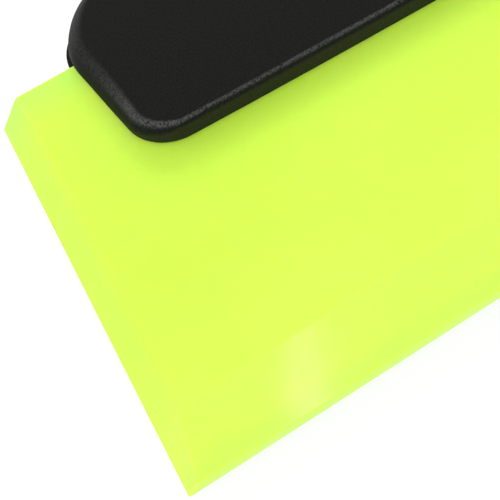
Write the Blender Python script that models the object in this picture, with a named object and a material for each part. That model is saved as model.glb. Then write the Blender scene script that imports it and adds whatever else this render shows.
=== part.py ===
"""Hand squeegee applicator: a flexible blade clamped between the two shells of a palm handle.

Metres, +Z up. The working edge faces -Y, the grip points to +Y, and the tool lies on the flat
underside of its lower shell. Plan sizes are measured from the middle of the blade's rear edge.
"""
import math

import bmesh
import bpy
from mathutils import Vector

MM = 0.001

# Blade: a cast plate, flat underneath, bevelled along its working edge and its two ends
BLADE_DEPTH = 50.0 * MM
BLADE_REAR_LENGTH = 134.0 * MM
BLADE_THICKNESS = 3.45 * MM
BLADE_END_FLARE = 3.1 * MM
BLADE_END_BEVEL = 2.9 * MM
BLADE_FRONT_BEVEL = 6.45 * MM
BLADE_NOSE_HEIGHT = 1.45 * MM
BLADE_EDGE_ROUND = 0.15 * MM

# Handle plan: the jaw in front, the shoulders, the neck and the palm grip
LIP_REACH = 18.4 * MM
LIP_BOW = 1.05 * MM
JAW_FRONT_LENGTH = 116.5 * MM
JAW_CORNER_ROUND = 5.3 * MM
SHOULDER_LENGTH = 120.4 * MM
SHOULDER_SETBACK = 4.8 * MM
UPPER_SHOULDER_ROUND = 11.0 * MM
LOWER_SHOULDER_ROUND = 7.2 * MM
NECK_WIDTH = 33.0 * MM
NECK_SETBACK = 32.0 * MM
NECK_ROUND = 26.0 * MM
GRIP_SETBACK = 95.0 * MM
GRIP_END_WIDTH = 42.0 * MM
GRIP_END_BOW = 4.0 * MM
GRIP_END_ROUND = 14.0 * MM

# Handle heights and walls
LIP_THICKNESS = 2.6 * MM
GRIP_HEIGHT = 19.0 * MM
GRIP_RISE_START = 7.0 * MM
GRIP_RISE_LENGTH = 36.0 * MM
GRIP_TAIL_LENGTH = 30.0 * MM
GRIP_TAIL_DROP = 4.0 * MM
SHELL_WALL = 2.4 * MM
RIB_WIDTH = 1.8 * MM
RIB_COUNT = 2
BOSS_RADIUS = 4.2 * MM

# Rim round the roof: slim along the lip, wider at the ends of the jaw, a full round on the grip
LIP_RIM_ROUND = 1.05 * MM
JAW_END_RIM_ROUND = 3.6 * MM
GRIP_RIM_ROUND = 8.5 * MM
JAW_RIM_SWEEP = math.radians(68)
GRIP_RIM_SWEEP = math.radians(90)
RIM_GROWTH_LENGTH = 13.35 * MM
RIM_SPREAD_LENGTH = 32.0 * MM
LEAST_WALL_HEIGHT = 0.24 * MM

# Grooves in the lips that bite on the blade
GROOVE_COUNT = 3
GROOVE_WIDTH = 1.2 * MM
GROOVE_PITCH = 4.0 * MM
GROOVE_DEPTH = 0.4 * MM
GROOVE_END_MARGIN = 6.0 * MM

# Reliefs in the slot's rear corners, clear of the blade's own corners
RELIEF_DEPTH = 1.6 * MM
RELIEF_LENGTH = 5.0 * MM

# Fasteners: one kind of screw and insert throughout
JAW_SCREW_SETBACK = 11.5 * MM
JAW_SCREW_SPACING = 35.0 * MM
FRONT_GRIP_SCREW_SETBACK = 43.0 * MM
REAR_GRIP_SCREW_MARGIN = 14.0 * MM
SCREW_RADIUS = 1.5 * MM
SCREW_HEAD_RADIUS = 2.8 * MM
SCREW_HEAD_HEIGHT = 1.6 * MM
SCREW_HEAD_SINK = 0.3 * MM
SCREW_CHAMFER = 0.25 * MM
SOCKET_WIDTH = 2.0 * MM
SOCKET_DEPTH = 0.9 * MM
INSERT_RADIUS = 2.1 * MM
INSERT_LENGTH = 3.0 * MM
INSERT_GROOVE_DEPTH = 0.25 * MM
INSERT_GROOVE_WIDTH = 0.6 * MM
PEG_RADIUS = 1.5 * MM
PEG_LENGTH = 2.6 * MM
PEG_SPACING = 18.0 * MM

# Fits
CLEARANCE = 0.1 * MM
SCREW_PLAY = 0.2 * MM
PARTING_GAP = 0.3 * MM
HOLE_END_ROOM = 0.4 * MM
CUT_OVERRUN = 2.0 * MM

# Facets
ARC_STEPS = 9
RIM_STEPS = 5
BOW_STEPS = 4
BOW_SHARE = 0.9
PATH_STEP = 4.5 * MM
ROUND_SIDES = 20
EDGE_STEPS = 2
EDGE_ANGLE = math.radians(30)

# Finishes: colour, roughness and share of metal
FINISHES = {
    "yellow_green_polyurethane": ((0.70, 0.95, 0.08), 0.3, 0.0),
    "black_grained_plastic": ((0.018, 0.018, 0.017), 0.55, 0.0),
    "zinc_plated_steel": ((0.55, 0.56, 0.57), 0.35, 1.0),
    "brass": ((0.72, 0.52, 0.22), 0.35, 1.0),
}

# Levels above the surface that the tool lies on
BLADE_BOTTOM = LIP_THICKNESS + CLEARANCE
BLADE_TOP = BLADE_BOTTOM + BLADE_THICKNESS
PARTING = (BLADE_BOTTOM + BLADE_TOP) / 2
LOWER_FACE = PARTING - PARTING_GAP / 2
UPPER_FACE = PARTING + PARTING_GAP / 2
LIP_TOP = BLADE_TOP + CLEARANCE + LIP_THICKNESS
SCREW_SEAT = SCREW_HEAD_SINK + SCREW_HEAD_HEIGHT + CLEARANCE
SCREW_TIP = UPPER_FACE + INSERT_LENGTH

# The frame's origin is under the middle of the whole tool
BLADE_REAR_Y = (BLADE_DEPTH - GRIP_SETBACK) / 2


def clear_scene():
    """Remove every object that the file already holds."""
    for old in list(bpy.data.objects):
        bpy.data.objects.remove(old, do_unlink=True)


def make_material(name):
    """A plain surface of one colour and gloss."""
    colour, roughness, metallic = FINISHES[name]
    material = bpy.data.materials.new(name)
    material.use_nodes = True
    shader = material.node_tree.nodes["Principled BSDF"]
    shader.inputs["Base Color"].default_value = (*colour, 1.0)
    shader.inputs["Roughness"].default_value = roughness
    shader.inputs["Metallic"].default_value = metallic
    return material


def make_object(name, bm, parent, material=None):
    """Turn a bmesh into a named object; one without a material is a cutter."""
    bmesh.ops.recalc_face_normals(bm, faces=bm.faces)
    mesh = bpy.data.meshes.new(name)
    bm.to_mesh(mesh)
    bm.free()
    made = bpy.data.objects.new(name, mesh)
    bpy.context.scene.collection.objects.link(made)
    made.parent = parent
    if material:
        mesh.materials.append(material)
    else:
        made.hide_render = True
        made.display_type = "WIRE"
    return made


def combine(target, other, operation="DIFFERENCE"):
    """Cut another object out of the target, or join it on."""
    modifier = target.modifiers.new(other.name, "BOOLEAN")
    modifier.operation = operation
    modifier.object = other
    modifier.solver = "EXACT"


def smooth_step(value, start, length):
    """Rise from 0 to 1 along a length, level at both ends."""
    share = min(max((value - start) / length, 0.0), 1.0)
    return share * share * (3 - 2 * share)


def rounded_path(corners):
    """Points along straight runs joined by arcs; a corner is (x, y, radius)."""
    path = [Vector(corners[0][:2])]
    for before, corner, after in zip(corners, corners[1:], corners[2:]):
        here = Vector(corner[:2])
        back = Vector(before[:2]) - here
        onward = Vector(after[:2]) - here
        half_angle = back.angle(onward) / 2
        # An arc takes at most half of the shorter run beside it
        reach = min(corner[2] / math.tan(half_angle), back.length / 2, onward.length / 2)
        radius = reach * math.tan(half_angle)
        bisector = (back.normalized() + onward.normalized()).normalized()
        centre = here + bisector * radius / math.sin(half_angle)
        first = here + back.normalized() * reach - centre
        last = here + onward.normalized() * reach - centre
        start = math.atan2(first.y, first.x)
        turn = math.remainder(math.atan2(last.y, last.x) - start, math.tau)
        for step in range(ARC_STEPS + 1):
            angle = start + turn * step / ARC_STEPS
            path.append(centre + radius * Vector((math.cos(angle), math.sin(angle))))
    path.append(Vector(corners[-1][:2]))
    return path


def bow_points(length, bow, corner_round):
    """Points (x, drop) along half of a bowed edge, from its middle to the start of its corner."""
    reach = (length / 2 - corner_round) * BOW_SHARE
    places = [reach * step / BOW_STEPS for step in range(BOW_STEPS + 1)]
    return [(x, bow * (2 * x / length) ** 2) for x in places]


def subdivided(path):
    """The same path with points added along its long straight runs."""
    fine = path[:1]
    for start, end in zip(path, path[1:]):
        count = math.ceil((end - start).length / PATH_STEP)
        fine += [start.lerp(end, step / count) for step in range(1, count + 1)]
    return fine


def handle_path(shoulder_round):
    """Right half of a shell's plan, from the middle of the lip round to the end of the grip."""
    lip = [(x, drop - LIP_REACH) for x, drop in bow_points(JAW_FRONT_LENGTH, LIP_BOW, JAW_CORNER_ROUND)]
    end = [(x, GRIP_SETBACK - drop) for x, drop in bow_points(GRIP_END_WIDTH, GRIP_END_BOW, GRIP_END_ROUND)]
    sides = rounded_path([
        (*lip[-1], 0.0),
        (JAW_FRONT_LENGTH / 2, LIP_BOW - LIP_REACH, JAW_CORNER_ROUND),
        (SHOULDER_LENGTH / 2, SHOULDER_SETBACK, shoulder_round),
        (NECK_WIDTH / 2, NECK_SETBACK, NECK_ROUND),
        (GRIP_END_WIDTH / 2, GRIP_SETBACK - GRIP_END_BOW, GRIP_END_ROUND),
        (*end[-1], 0.0),
    ])
    path = [Vector(point) for point in lip[:-1]]
    path += subdivided(sides)
    path += [Vector(point) for point in end[-2::-1]]
    return path


def inset_path(path, insets):
    """Move a half outline inwards, each point by its own distance along its normal."""
    moved = []
    for index, point in enumerate(path):
        ahead = path[min(index + 1, len(path) - 1)]
        behind = path[max(index - 1, 0)]
        along = (ahead - behind).normalized()
        inward = Vector((-along.y, along.x))
        if index in (0, len(path) - 1):
            inward = Vector((0.0, 1.0 if index == 0 else -1.0))
        moved.append(point + inward * insets[index])
    return moved


def add_ring(bm, path, levels):
    """One closed loop of vertices from a half outline and its mirror image."""
    right = [bm.verts.new((point.x, point.y, level)) for point, level in zip(path, levels)]
    left = [bm.verts.new((-vert.co.x, vert.co.y, vert.co.z)) for vert in right[1:-1]]
    return right + left[::-1]


def cap_ring(bm, ring):
    """Close a mirrored loop with strips from its right side to its left side."""
    last = len(ring) // 2
    for index in range(last):
        strip = [ring[index], ring[index + 1], ring[-index - 1], ring[-index]]
        bm.faces.new(dict.fromkeys(strip))


def join_rings(bm, lower, upper):
    """Close the wall between two loops of the same length."""
    for index in range(len(lower)):
        after = (index + 1) % len(lower)
        bm.faces.new((lower[index], lower[after], upper[after], upper[index]))


def domed_body(path, base, side, height_at, rim_at, sweep_at):
    """A body on a flat base: upright walls, a rounded rim and a roof that follows its length.

    side is 1 for a roof above the base and -1 for one below it. height_at, rim_at and sweep_at give
    the roof's height, the rim's radius and the turn of its arc at a distance from the blade's rear edge.
    """
    bm = bmesh.new()
    rings = [add_ring(bm, path, [base] * len(path))]
    for step in range(RIM_STEPS + 1):
        insets = []
        drops = []
        for point in path:
            radius = rim_at(point.y)
            sweep = sweep_at(point.y)
            angle = sweep * step / RIM_STEPS
            insets.append(radius * (1 - math.cos(angle)))
            drops.append(radius * (math.sin(sweep) - math.sin(angle)))
        moved = inset_path(path, insets)
        levels = [base + side * (height_at(point.y) - drop) for point, drop in zip(moved, drops)]
        rings.append(add_ring(bm, moved, levels))
    for lower, upper in zip(rings, rings[1:]):
        join_rings(bm, lower, upper)
    cap_ring(bm, rings[0])
    cap_ring(bm, rings[-1])
    return bm


def grip_share(y):
    """0 on the thin jaw, 1 on the full palm grip."""
    return smooth_step(y, GRIP_RISE_START, GRIP_RISE_LENGTH)


def upper_height(y):
    """Height of the handle's roof above the upper shell's parting face."""
    tail = smooth_step(y, GRIP_SETBACK - GRIP_TAIL_LENGTH, GRIP_TAIL_LENGTH)
    rise = (GRIP_HEIGHT - LIP_TOP) * grip_share(y)
    return LIP_TOP - UPPER_FACE + rise - GRIP_TAIL_DROP * tail


def upper_sweep(y):
    """Turn of the rim's arc: it meets the roof at a crease round the jaw and runs level into the grip's."""
    return JAW_RIM_SWEEP + (GRIP_RIM_SWEEP - JAW_RIM_SWEEP) * grip_share(y)


def upper_rim(y):
    """Radius of the rim round the roof, never so wide that no upright wall is left under it."""
    grown = min(max((y - LIP_BOW + LIP_REACH) / RIM_GROWTH_LENGTH, 0.0), 1.0)
    spread = min(max(y / RIM_SPREAD_LENGTH, 0.0), 1.0)
    radius = LIP_RIM_ROUND + (JAW_END_RIM_ROUND - LIP_RIM_ROUND) * math.sqrt(grown)
    radius += (GRIP_RIM_ROUND - JAW_END_RIM_ROUND) * spread
    return min(radius, (upper_height(y) - LEAST_WALL_HEIGHT) / math.sin(upper_sweep(y)))


def add_box(bm, low, high):
    """An upright box between two corners."""
    size = [top - bottom for bottom, top in zip(low, high)]
    box = bmesh.ops.create_cube(bm, size=1.0)["verts"]
    for vert in box:
        vert.co = [bottom + extent * (place + 0.5) for bottom, extent, place in zip(low, size, vert.co)]


def add_prism(bm, plan, low, high):
    """An upright solid with the same plan at two levels."""
    lower = [bm.verts.new((x, y, low)) for x, y in plan]
    upper = [bm.verts.new((x, y, high)) for x, y in plan]
    bm.faces.new(lower)
    bm.faces.new(upper)
    join_rings(bm, lower, upper)


def add_turned(bm, profile, closed=False, sides=ROUND_SIDES, centre=(0.0, 0.0)):
    """Turn a profile of (radius, level) points about an upright axis.

    An open profile is closed by flat discs; a closed one makes a ring with a bore.
    """
    rings = []
    for radius, level in profile:
        ring = []
        for side in range(sides):
            angle = math.tau * side / sides
            x = centre[0] + radius * math.cos(angle)
            y = centre[1] + radius * math.sin(angle)
            ring.append(bm.verts.new((x, y, level)))
        rings.append(ring)
    pairs = list(zip(rings, rings[1:]))
    if closed:
        pairs.append((rings[-1], rings[0]))
    else:
        bm.faces.new(rings[0])
        bm.faces.new(rings[-1])
    for lower, upper in pairs:
        join_rings(bm, lower, upper)


def round_cutter(name, parent, places, radius, low, high):
    """Upright round bars at several places, for holes and bosses."""
    bm = bmesh.new()
    for place in places:
        add_turned(bm, [(radius, low), (radius, high)], centre=place)
    return make_object(name, bm, parent)


def screw_places():
    """Names and places of the screws: three behind the jaw and two along the grip."""
    return {
        "jaw_left": (-JAW_SCREW_SPACING, JAW_SCREW_SETBACK),
        "jaw_middle": (0.0, JAW_SCREW_SETBACK),
        "jaw_right": (JAW_SCREW_SPACING, JAW_SCREW_SETBACK),
        "grip_front": (0.0, FRONT_GRIP_SCREW_SETBACK),
        "grip_rear": (0.0, GRIP_SETBACK - REAR_GRIP_SCREW_MARGIN),
    }


def peg_places():
    """Places of the two locating pegs, beside the middle jaw screw."""
    return [(side * PEG_SPACING, JAW_SCREW_SETBACK) for side in (-1, 1)]


def make_blade(parent, material):
    """The blade: a plate whose end faces lean outwards and whose working edge is bevelled to a nose."""
    half = BLADE_REAR_LENGTH / 2
    bevel_start = BLADE_DEPTH - BLADE_FRONT_BEVEL

    def corner(side, depth, drop):
        reach = half + BLADE_END_FLARE * depth / BLADE_DEPTH + BLADE_END_BEVEL * drop / BLADE_THICKNESS
        return bm.verts.new((side * reach, -depth, BLADE_TOP - drop))

    bm = bmesh.new()
    ends = []
    for side in (-1, 1):
        ends.append([
            corner(side, 0.0, 0.0),
            corner(side, bevel_start, 0.0),
            corner(side, BLADE_DEPTH, BLADE_THICKNESS - BLADE_NOSE_HEIGHT),
            corner(side, BLADE_DEPTH, BLADE_THICKNESS),
            corner(side, 0.0, BLADE_THICKNESS),
        ])
    for end in ends:
        bm.faces.new(end)
    join_rings(bm, ends[0], ends[1])
    blade = make_object("blade", bm, parent, material)
    bevel = blade.modifiers.new("softened edges", "BEVEL")
    bevel.width = BLADE_EDGE_ROUND
    bevel.segments = EDGE_STEPS
    bevel.limit_method = "ANGLE"
    bevel.angle_limit = EDGE_ANGLE
    return blade


def make_jaw_slot(parent):
    """The slot that takes the blade, open at the front and both ends, with reliefs at its rear corners."""
    reach = SHOULDER_LENGTH / 2 + CUT_OVERRUN
    inner = SHOULDER_LENGTH / 2 - RELIEF_LENGTH
    front = -LIP_REACH - CUT_OVERRUN
    right = [(reach, front), (reach, RELIEF_DEPTH), (inner, RELIEF_DEPTH), (inner, CLEARANCE)]
    left = [(-x, y) for x, y in reversed(right)]
    bm = bmesh.new()
    add_prism(bm, right + left, BLADE_BOTTOM - CLEARANCE, BLADE_TOP + CLEARANCE)
    return make_object("jaw_slot", bm, parent)


def make_grooves(name, parent, low, high):
    """Cross grooves in a lip, stopping short of its ends."""
    bm = bmesh.new()
    reach = JAW_FRONT_LENGTH / 2 - GROOVE_END_MARGIN
    for index in range(GROOVE_COUNT):
        middle = -LIP_REACH / 2 + (index - (GROOVE_COUNT - 1) / 2) * GROOVE_PITCH
        add_box(bm, (-reach, middle - GROOVE_WIDTH / 2, low), (reach, middle + GROOVE_WIDTH / 2, high))
    return make_object(name, bm, parent)


def make_grip_hollow(parent, path):
    """The space inside the grip, which leaves its walls, ribs and screw bosses standing."""
    front = JAW_SCREW_SETBACK + BOSS_RADIUS
    inner = [point for point in inset_path(path, [SHELL_WALL] * len(path)) if point.y > front]
    inner = [Vector((0.0, front)), Vector((inner[0].x, front))] + inner
    base = UPPER_FACE - CUT_OVERRUN

    def height_at(y):
        return upper_height(y) + CUT_OVERRUN - SHELL_WALL

    def rim_at(y):
        return max(upper_rim(y) - SHELL_WALL, CLEARANCE)

    hollow = make_object("grip_hollow", domed_body(inner, base, 1, height_at, rim_at, upper_sweep), parent)
    top = GRIP_HEIGHT + CUT_OVERRUN
    places = [screw_places()["grip_front"], screw_places()["grip_rear"]]
    combine(hollow, round_cutter("grip_bosses", parent, places, BOSS_RADIUS, base - CUT_OVERRUN, top))
    bm = bmesh.new()
    reach = GRIP_END_WIDTH
    rib_pitch = (places[1][1] - places[0][1]) / (RIB_COUNT + 1)
    for index in range(RIB_COUNT):
        middle = places[0][1] + rib_pitch * (index + 1)
        low = (-reach, middle - RIB_WIDTH / 2, base - CUT_OVERRUN)
        add_box(bm, low, (reach, middle + RIB_WIDTH / 2, top))
    combine(hollow, make_object("grip_ribs", bm, parent))
    return hollow


def make_upper_shell(parent, material, slot):
    """The upper shell: the upper lip and the hollow palm grip, with seats for inserts and pegs."""
    path = handle_path(UPPER_SHOULDER_ROUND)
    body = domed_body(path, UPPER_FACE, 1, upper_height, upper_rim, upper_sweep)
    shell = make_object("upper_shell", body, parent, material)
    combine(shell, make_grip_hollow(parent, path))
    combine(shell, slot)
    roof = BLADE_TOP + CLEARANCE
    combine(shell, make_grooves("upper_grooves", parent, roof - CUT_OVERRUN / 2, roof + GROOVE_DEPTH))
    low = UPPER_FACE - CUT_OVERRUN
    places = list(screw_places().values())
    insert_top = UPPER_FACE + INSERT_LENGTH + HOLE_END_ROOM
    combine(shell, round_cutter("insert_seats", parent, places, INSERT_RADIUS + CLEARANCE, low, insert_top))
    peg_top = LOWER_FACE + PEG_LENGTH + HOLE_END_ROOM
    combine(shell, round_cutter("peg_sockets", parent, peg_places(), PEG_RADIUS + CLEARANCE, low, peg_top))
    return shell


def make_lower_shell(parent, material, slot):
    """The lower shell: a flat base with the lower lip, pegs and sunk screw holes."""
    path = handle_path(LOWER_SHOULDER_ROUND)
    form = [lambda y, size=size: size for size in (LOWER_FACE, LIP_RIM_ROUND, GRIP_RIM_SWEEP)]
    body = domed_body(path, LOWER_FACE, -1, *form)
    shell = make_object("lower_shell", body, parent, material)
    combine(shell, slot)
    floor = BLADE_BOTTOM - CLEARANCE
    combine(shell, make_grooves("lower_grooves", parent, floor - GROOVE_DEPTH, floor + CUT_OVERRUN / 2))
    places = list(screw_places().values())
    high = LOWER_FACE + CUT_OVERRUN
    screw_hole = SCREW_RADIUS + SCREW_PLAY
    combine(shell, round_cutter("screw_holes", parent, places, screw_hole, -CUT_OVERRUN, high))
    head_hole = SCREW_HEAD_RADIUS + SCREW_PLAY
    combine(shell, round_cutter("head_holes", parent, places, head_hole, -CUT_OVERRUN, SCREW_SEAT))
    low = LOWER_FACE - PEG_LENGTH / 2
    pegs = round_cutter("locating_pegs", parent, peg_places(), PEG_RADIUS, low, LOWER_FACE + PEG_LENGTH)
    combine(shell, pegs, "UNION")
    return shell


def make_screw(name, parent, material, place):
    """A cap screw, head down in the lower shell, with a hexagon socket."""
    bm = bmesh.new()
    head_top = SCREW_SEAT - CLEARANCE
    add_turned(bm, [
        (SCREW_HEAD_RADIUS - SCREW_CHAMFER, SCREW_HEAD_SINK),
        (SCREW_HEAD_RADIUS, SCREW_HEAD_SINK + SCREW_CHAMFER),
        (SCREW_HEAD_RADIUS, head_top),
        (SCREW_RADIUS, head_top),
        (SCREW_RADIUS, SCREW_TIP - SCREW_CHAMFER),
        (SCREW_RADIUS - SCREW_CHAMFER, SCREW_TIP),
    ])
    screw = make_object(name, bm, parent, material)
    screw.location = (*place, 0.0)
    bm = bmesh.new()
    radius = SOCKET_WIDTH / math.sqrt(3)
    low = SCREW_HEAD_SINK - CUT_OVERRUN
    add_turned(bm, [(radius, low), (radius, SCREW_HEAD_SINK + SOCKET_DEPTH)], sides=6)
    socket = make_object(name + "_socket", bm, parent)
    socket.location = screw.location
    combine(screw, socket)
    return screw


def make_insert(name, parent, material, place):
    """A threaded bush, grooved round its waist, seated in the upper shell."""
    bm = bmesh.new()
    bore = SCREW_RADIUS + CLEARANCE
    waist = UPPER_FACE + INSERT_LENGTH / 2
    neck = INSERT_RADIUS - INSERT_GROOVE_DEPTH
    half = INSERT_GROOVE_WIDTH / 2
    add_turned(bm, [
        (bore, UPPER_FACE),
        (INSERT_RADIUS, UPPER_FACE),
        (INSERT_RADIUS, waist - half),
        (neck, waist - half / 2),
        (neck, waist + half / 2),
        (INSERT_RADIUS, waist + half),
        (INSERT_RADIUS, UPPER_FACE + INSERT_LENGTH),
        (bore, UPPER_FACE + INSERT_LENGTH),
    ], closed=True)
    insert = make_object(name, bm, parent, material)
    insert.location = (*place, 0.0)
    return insert


def main():
    """Build the whole tool under one empty at the middle of the blade's rear edge."""
    clear_scene()
    tool = bpy.data.objects.new("squeegee", None)
    tool.location = (0.0, BLADE_REAR_Y, 0.0)
    bpy.context.scene.collection.objects.link(tool)
    plastic = make_material("black_grained_plastic")
    steel = make_material("zinc_plated_steel")
    brass = make_material("brass")
    make_blade(tool, make_material("yellow_green_polyurethane"))
    slot = make_jaw_slot(tool)
    make_upper_shell(tool, plastic, slot)
    make_lower_shell(tool, plastic, slot)
    for name, place in screw_places().items():
        make_screw(name + "_screw", tool, steel, place)
        make_insert(name + "_insert", tool, brass, place)


main()
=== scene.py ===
"""Squeegee applicator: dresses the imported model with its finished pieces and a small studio.

Metres, +Z up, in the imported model's own frame: the working edge faces -Y, the grip points to +Y
and the tool lies on z = 0. Depths run forward from the blade's rear edge, and setbacks run back.
"""
import math
from collections import namedtuple

import bmesh
import bpy
import numpy as np
from bpy.props import FloatProperty, FloatVectorProperty, IntProperty, PointerProperty
from bpy.types import Operator, Panel, PropertyGroup
from mathutils import Matrix, Vector


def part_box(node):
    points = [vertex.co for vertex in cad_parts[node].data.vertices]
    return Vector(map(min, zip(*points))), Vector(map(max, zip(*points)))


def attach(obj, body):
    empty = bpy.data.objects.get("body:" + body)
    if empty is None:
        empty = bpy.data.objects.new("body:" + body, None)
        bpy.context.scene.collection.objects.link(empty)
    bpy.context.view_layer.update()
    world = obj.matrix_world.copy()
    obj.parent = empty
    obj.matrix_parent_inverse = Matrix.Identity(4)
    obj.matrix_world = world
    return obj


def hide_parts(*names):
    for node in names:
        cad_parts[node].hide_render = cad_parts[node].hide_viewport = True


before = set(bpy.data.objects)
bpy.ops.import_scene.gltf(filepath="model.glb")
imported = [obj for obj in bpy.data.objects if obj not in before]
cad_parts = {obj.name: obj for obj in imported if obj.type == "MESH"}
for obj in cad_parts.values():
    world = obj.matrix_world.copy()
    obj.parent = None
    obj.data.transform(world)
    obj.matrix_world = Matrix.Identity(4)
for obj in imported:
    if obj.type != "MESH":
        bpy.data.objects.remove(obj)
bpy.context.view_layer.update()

bl_info = {
    "name": "Squeegee Applicator",
    "version": (1, 0, 0),
    "blender": (4, 5, 0),
    "location": "3D View > Sidebar > Squeegee",
    "description": "Makes a hand squeegee: a polyurethane blade clamped in a two-shell handle",
    "category": "Object",
}

MM = 0.001

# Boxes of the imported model
BLADE_LOW, BLADE_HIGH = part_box("blade")
UPPER_LOW, UPPER_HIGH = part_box("upper_shell")
LOWER_LOW, LOWER_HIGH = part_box("lower_shell")
SCREW_NODES = sorted(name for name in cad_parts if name.endswith("_screw"))
INSERT_NODES = sorted(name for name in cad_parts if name.endswith("_insert"))

# Sizes that follow from the boxes
BLADE_REAR = BLADE_HIGH.y
BLADE_DEPTH = BLADE_HIGH.y - BLADE_LOW.y
BLADE_THICKNESS = BLADE_HIGH.z - BLADE_LOW.z
LIP_REACH = BLADE_REAR - UPPER_LOW.y
GRIP_SETBACK = UPPER_HIGH.y - BLADE_REAR
PEG_TOP = LOWER_HIGH.z

# Fineness of the meshes
OUTLINE_STEP = 0.6 * MM
ARC_STEPS = 40
RIM_STEPS = 14
EDGE_STEPS = 6
TURN_SIDES = 72
THREAD_STEPS = 8
BUSH_LEVELS = 41

# Rings this far from a rim keep its wall and roof flat
HOLD_MARGIN = 0.12 * MM
# Points this close are merged
SEAM_REACH = 0.5e-6
# Faces that meet at more than this are shaded apart
SHARP_ANGLE = math.radians(32)
# Cutters reach this far past the surface that they cut
OVERRUN = 2.0 * MM
# A bowed edge is followed over this share of its way to the corner
BOW_SHARE = 0.9

# Clearances, counted in fits: between the shells, at the end of a seat, and round a screw
PARTING_FITS = 3
SEAT_FITS = 4
SCREW_FITS = 2

# Parts of the climb up a rim, from 0 at the wall to 1 at the roof; its band of rubbing also paints its
# highlight
WEAR_HIGHLIGHT_START, WEAR_HIGHLIGHT_RISE = 0.54, 0.28
WEAR_HIGHLIGHT_END, WEAR_HIGHLIGHT_FALL = 0.88, 0.12
SHEEN_FALL = 0.35

WHITE = (1.0, 1.0, 1.0, 1.0)
# Colour of the blade's painted green glow
GLOW_GREEN = (0.0, 1.0, 0.0, 1.0)


def length(name, description, default):
    """A distance that a user can change."""
    return FloatProperty(
        name=name, description=description, default=default, min=0.0,
        subtype="DISTANCE", unit="LENGTH", precision=5,
    )


def turn(name, description, degrees):
    """An angle that a user can change."""
    return FloatProperty(
        name=name, description=description, default=math.radians(degrees),
        subtype="ANGLE", unit="ROTATION",
    )


def colour(name, description, default):
    """A scene-linear colour that a user can change."""
    return FloatVectorProperty(
        name=name, description=description, default=default, size=3, min=0.0, max=1.0,
        subtype="COLOR",
    )


def share(name, description, default):
    """A number from 0 to 1 that a user can change."""
    return FloatProperty(
        name=name, description=description, default=default, min=0.0, max=1.0, subtype="FACTOR",
    )


class BladeSettings(PropertyGroup):
    rear_length: length("Rear length", "Length of the top face along the rear edge", 134.0 * MM)
    end_flare: length("End flare", "How much further each end reaches at the working edge", 3.1 * MM)
    end_bevel: length("End bevel", "How far each end face leans out from top to bottom", 2.9 * MM)
    front_bevel: length("Front bevel", "Depth of the bevel along the working edge", 6.45 * MM)
    nose_height: length("Nose height", "Height of the upright face under the bevel", 1.45 * MM)
    end_softness: length("End softness", "Width of the rounding along the top end edges", 0.55 * MM)
    corner_softness: length("Corner softness", "Width of the rounding down the front corners", 0.3 * MM)
    edge_softness: length("Edge softness", "Width of the rounding along the other edges", 0.15 * MM)
    body_colour: colour("Body colour", "Colour of the cast polyurethane", (0.668, 1.0, 0.091))
    # The paler colour is the clouds' own tone, and on the bevel a painted reflection.
    haze_and_reflection_colour: colour("Haze colour", "Colour of the paler clouds in it", (0.718, 1.0, 0.125))
    # The edge colour is painted light and shade: greener on the lower bevel and nose as light through
    # the thin front edge, and greener along the rear edge as shade.
    edge_glow_and_shade_colour: colour("Edge colour", "Colour along its front and rear edges", (0.595, 1.0, 0.140))
    speck_colour: colour("Speck colour", "Colour of the few specks in it", (0.25, 0.33, 0.03))
    # Depth of the painted shade along the rear edge
    rear_shade_depth: length("Rear fade", "Depth over which that colour fades from the rear edge", 6.0 * MM)
    roughness: share("Roughness", "Roughness of the moulded faces", 0.28)
    bevel_roughness: share("Bevel roughness", "Roughness of the ground bevel", 0.09)
    # A painted green glow over the whole blade. It stands in for the pigment's fluorescence, lifts the
    # shade beside the handle and shines even without light.
    painted_glow: share("Fluorescence", "Green light that the pigment adds to what it reflects", 0.07)


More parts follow.
